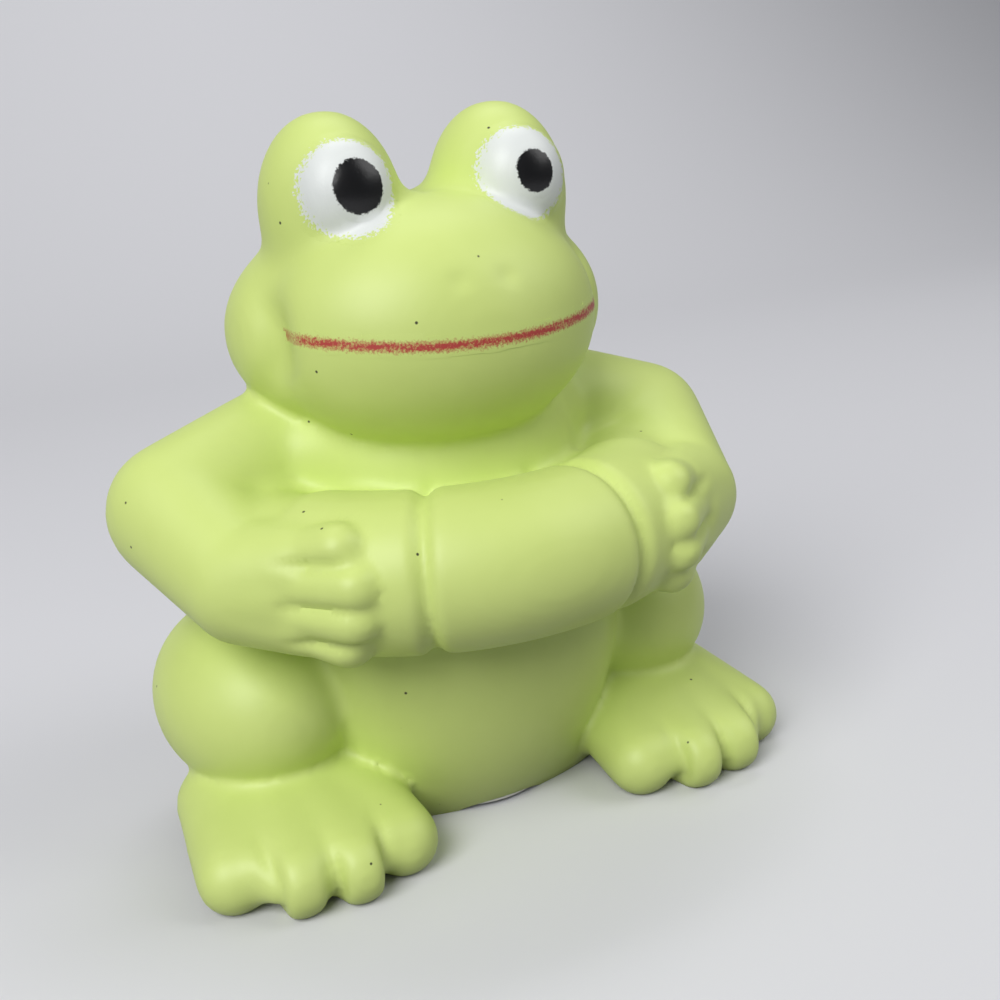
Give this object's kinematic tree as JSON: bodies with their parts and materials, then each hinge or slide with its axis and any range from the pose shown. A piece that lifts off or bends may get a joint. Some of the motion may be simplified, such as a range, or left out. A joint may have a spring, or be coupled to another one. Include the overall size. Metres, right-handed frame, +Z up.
{
  "type": "squeaky bath toy",
  "caption": "Hollow soft vinyl frog sitting in a swim ring with its hands on it, sprayed eyes and mouth, and a snap-in reed squeaker in its flat base.",
  "frame": {"origin": "on the table under the middle of the swim ring, at the centre of the footprint", "axes": "+Z up, -Y the way the frog faces, +X to the frog's own left"},
  "size_m": [0.0672, 0.054, 0.0713],
  "materials": {
    "green_vinyl": "soft matte vinyl with a faint sheen",
    "white_paint": "grainy sprayed paint",
    "black_paint": "gloss sprayed paint",
    "red_paint": "thin sprayed paint",
    "squeaker_plastic": "plain moulded plastic",
    "reed_film": "clear plastic film"
  },
  "bodies": {
    "toy": {"body_shell": "green_vinyl", "squeaker_cup": "squeaker_plastic", "reed_block": "squeaker_plastic", "reed_clamp": "squeaker_plastic"},
    "face": {"eye_white_left": "white_paint", "eye_white_right": "white_paint", "pupil_left": "black_paint", "pupil_right": "black_paint", "mouth_paint": "red_paint"},
    "tongue": {"reed": "reed_film"}
  },
  "joints": [
    {"name": "squeeze", "type": "slide", "parent": "toy", "child": "face", "axis": [0, 0, -1], "range_m": [0, 0.008], "stiffness_N_per_m": 900, "deforming": ["body_shell"]},
    {"name": "reed_beat", "type": "hinge", "parent": "toy", "child": "tongue", "pos_m": [0.0003, 0, 0.0099], "axis": [0, 1, 0], "range_deg": [0, 3], "stiffness_Nm_per_rad": 0.004}
  ]
}
